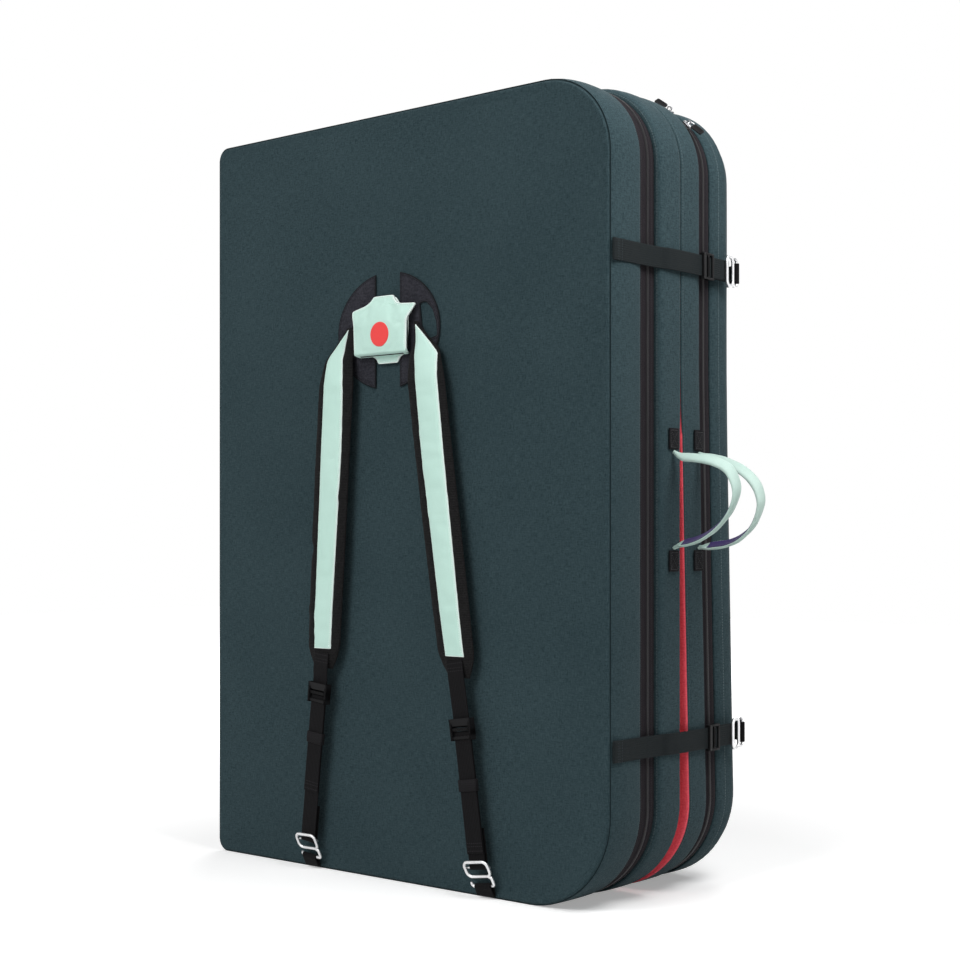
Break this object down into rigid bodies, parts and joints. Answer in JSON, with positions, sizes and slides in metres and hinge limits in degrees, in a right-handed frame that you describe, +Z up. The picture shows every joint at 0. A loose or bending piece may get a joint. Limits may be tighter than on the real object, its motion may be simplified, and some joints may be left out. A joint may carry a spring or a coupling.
{
  "type": "bouldering crash pad",
  "caption": "Folded foam landing pad standing on its short side, with zipped covers, shoulder harness, grab handles and hooked closure straps.",
  "frame": {"origin": "on the ground under the middle of the folded pad, straps and handles included", "axes": "+Z up along the folded pad; +X from the fold spine to the opening side with the handles; -Y out of the face that carries the shoulder harness"},
  "size_m": [0.9097, 0.3724, 1.162],
  "materials": {
    "shell_fabric": "coated heavy weave, matt",
    "landing_fabric": "coated heavy weave, matt",
    "mint_fabric": "coated weave, satin",
    "lining_fabric": "plain weave, matt",
    "coral_print": "smooth printed disc",
    "webbing": "woven webbing, matt",
    "padding": "padded mesh, matt",
    "zip_tape": "knitted tape, matt",
    "zip_coil": "nylon coil",
    "buckle_plastic": "moulded acetal",
    "hook_metal": "bright plated wire",
    "slider_metal": "die-cast, dull",
    "open_cell_foam": "open-cell polyurethane foam",
    "closed_cell_foam": "closed-cell polyethylene foam"
  },
  "bodies": {
    "front_half": {"front_outer_cover": "shell_fabric", "front_inner_wall": "shell_fabric", "front_landing_panel": "landing_fabric", "front_zip_tape": "zip_tape", "front_zip_coil": "zip_coil", "front_foam_core": "open_cell_foam", "front_foam_top": "closed_cell_foam", "spine_strip": "shell_fabric", "left_harness_patch": "webbing", "right_harness_patch": "webbing", "yoke_base": "mint_fabric", "yoke_pad": "mint_fabric", "yoke_disc": "coral_print", "left_hook_loop": "webbing", "right_hook_loop": "webbing", "front_handle_lower_tab": "webbing", "front_handle_upper_tab": "webbing"},
    "rear_half": {"rear_outer_cover": "shell_fabric", "rear_inner_wall": "shell_fabric", "rear_landing_panel": "landing_fabric", "rear_zip_tape": "zip_tape", "rear_zip_coil": "zip_coil", "rear_foam_core": "open_cell_foam", "rear_foam_top": "closed_cell_foam", "rear_handle_lower_tab": "webbing", "rear_handle_upper_tab": "webbing", "top_closure_loop": "webbing", "bottom_closure_loop": "webbing"},
    "front_handle": {"front_handle_sleeve": "mint_fabric", "front_handle_lining": "lining_fabric"},
    "rear_handle": {"rear_handle_sleeve": "mint_fabric", "rear_handle_lining": "lining_fabric"},
    "top_closure_strap": {"top_closure_webbing": "webbing"},
    "top_closure_slide_buckle": {"top_closure_buckle": "buckle_plastic"},
    "top_closure_hook": {"top_closure_hook": "hook_metal"},
    "bottom_closure_strap": {"bottom_closure_webbing": "webbing"},
    "bottom_closure_slide_buckle": {"bottom_closure_buckle": "buckle_plastic"},
    "bottom_closure_hook": {"bottom_closure_hook": "hook_metal"},
    "left_strap": {"left_strap_pad": "padding", "left_strap_facing": "mint_fabric", "left_strap_webbing": "webbing", "left_strap_adjuster": "webbing", "left_strap_buckle": "buckle_plastic"},
    "left_keeper": {"left_strap_keeper": "webbing"},
    "left_hook": {"left_shoulder_hook": "hook_metal"},
    "right_strap": {"right_strap_pad": "padding", "right_strap_facing": "mint_fabric", "right_strap_webbing": "webbing", "right_strap_adjuster": "webbing", "right_strap_buckle": "buckle_plastic"},
    "right_keeper": {"right_strap_keeper": "webbing"},
    "right_hook": {"right_shoulder_hook": "hook_metal"},
    "rear_upper_slider": {"rear_upper_slider": "slider_metal"},
    "rear_upper_pull": {"rear_upper_pull": "buckle_plastic"},
    "rear_lower_slider": {"rear_lower_slider": "slider_metal"},
    "rear_lower_pull": {"rear_lower_pull": "buckle_plastic"},
    "front_spine_slider": {"front_spine_slider": "slider_metal"},
    "front_spine_pull": {"front_spine_pull": "buckle_plastic"},
    "front_opening_slider": {"front_opening_slider": "slider_metal"},
    "front_opening_pull": {"front_opening_pull": "buckle_plastic"}
  },
  "joints": [
    {"name": "pad_fold", "type": "hinge", "parent": "front_half", "child": "rear_half", "pos_m": [-0.45415, 0.00025, 0], "axis": [0, 0, 1], "range_deg": [0, 180], "deforming": ["spine_strip"]},
    {"name": "top_closure_peel", "type": "hinge", "parent": "front_half", "child": "top_closure_strap", "pos_m": [0.3349, -0.15925, 0.904], "axis": [0, 0, -1], "range_deg": [0, 120], "deforming": ["top_closure_loop"]},
    {"name": "top_closure_buckle_slide", "type": "slide", "parent": "top_closure_strap", "child": "top_closure_slide_buckle", "axis": [0, 1, 0], "range_m": [-0.03, 0.005]},
    {"name": "top_closure_hook_turn", "type": "hinge", "parent": "top_closure_strap", "child": "top_closure_hook", "pos_m": [0.3481, 0.11575, 0.904], "axis": [0, 0, -1], "range_deg": [0, 6]},
    {"name": "bottom_closure_peel", "type": "hinge", "parent": "front_half", "child": "bottom_closure_strap", "pos_m": [0.3349, -0.15925, 0.225], "axis": [0, 0, -1], "range_deg": [0, 120], "deforming": ["bottom_closure_loop"]},
    {"name": "bottom_closure_buckle_slide", "type": "slide", "parent": "bottom_closure_strap", "child": "bottom_closure_slide_buckle", "axis": [0, 1, 0], "range_m": [-0.03, 0.005]},
    {"name": "bottom_closure_hook_turn", "type": "hinge", "parent": "bottom_closure_strap", "child": "bottom_closure_hook", "pos_m": [0.3481, 0.13178, 0.225], "axis": [0, 0, -1], "range_deg": [0, 6]},
    {"name": "left_strap_swing", "type": "hinge", "parent": "front_half", "child": "left_strap", "pos_m": [-0.0711, -0.16535, 0.824], "axis": [-1, 0, 0], "range_deg": [0, 120], "deforming": ["left_hook_loop"]},
    {"name": "left_keeper_slide", "type": "slide", "parent": "left_strap", "child": "left_keeper", "axis": [-0.1127, 0, -0.9936], "range_m": [-0.045, 0.07]},
    {"name": "left_hook_turn", "type": "hinge", "parent": "left_strap", "child": "left_hook", "pos_m": [-0.22487, -0.17617, 0.045], "axis": [-0.9936, 0, 0.1127], "range_deg": [0, 12]},
    {"name": "right_strap_swing", "type": "hinge", "parent": "front_half", "child": "right_strap", "pos_m": [-0.0711, -0.16535, 0.824], "axis": [-1, 0, 0], "range_deg": [0, 120], "deforming": ["right_hook_loop"]},
    {"name": "right_keeper_slide", "type": "slide", "parent": "right_strap", "child": "right_keeper", "axis": [0.1417, 0, -0.9899], "range_m": [-0.045, 0.085]},
    {"name": "right_hook_turn", "type": "hinge", "parent": "right_strap", "child": "right_hook", "pos_m": [0.11861, -0.17617, 0.04499], "axis": [-0.9899, 0, -0.1417], "range_deg": [0, 12]},
    {"name": "front_handle_swing", "type": "hinge", "parent": "front_half", "child": "front_handle", "pos_m": [0.35324, -0.02325, 0.567], "axis": [0, 0, 1], "range_deg": [-70, 15]},
    {"name": "rear_handle_swing", "type": "hinge", "parent": "rear_half", "child": "rear_handle", "pos_m": [0.35324, 0.04121, 0.567], "axis": [0, 0, 1], "range_deg": [-15, 70]},
    {"name": "rear_upper_slider_run", "type": "hinge", "parent": "rear_half", "child": "rear_upper_slider", "pos_m": [0.2229, 0.07125, 1.038], "axis": [0, -1, 0], "range_deg": [0, 22]},
    {"name": "rear_upper_pull_flip", "type": "hinge", "parent": "rear_upper_slider", "child": "rear_upper_pull", "pos_m": [0.2772, 0.07125, 1.14456], "axis": [0, 1, 0], "range_deg": [0, 120]},
    {"name": "rear_lower_slider_run", "type": "hinge", "parent": "rear_half", "child": "rear_lower_slider", "pos_m": [0.2229, 0.07125, 1.038], "axis": [0, 1, 0], "range_deg": [0, 35]},
    {"name": "rear_lower_pull_flip", "type": "hinge", "parent": "rear_lower_slider", "child": "rear_lower_pull", "pos_m": [0.31136, 0.07125, 1.11849], "axis": [0, -1, 0], "range_deg": [0, 120]},
    {"name": "front_spine_slider_run", "type": "slide", "parent": "front_half", "child": "front_spine_slider", "axis": [-1, 0, 0], "range_m": [0, 0.25]},
    {"name": "front_spine_pull_flip", "type": "hinge", "parent": "front_spine_slider", "child": "front_spine_pull", "pos_m": [-0.1401, -0.07075, 1.1576], "axis": [0, 1, 0], "range_deg": [0, 120]},
    {"name": "front_opening_slider_run", "type": "slide", "parent": "front_half", "child": "front_opening_slider", "axis": [1, 0, 0], "range_m": [0, 0.3]},
    {"name": "front_opening_pull_flip", "type": "hinge", "parent": "front_opening_slider", "child": "front_opening_pull", "pos_m": [-0.1061, -0.07075, 1.1576], "axis": [0, -1, 0], "range_deg": [0, 120]}
  ]
}
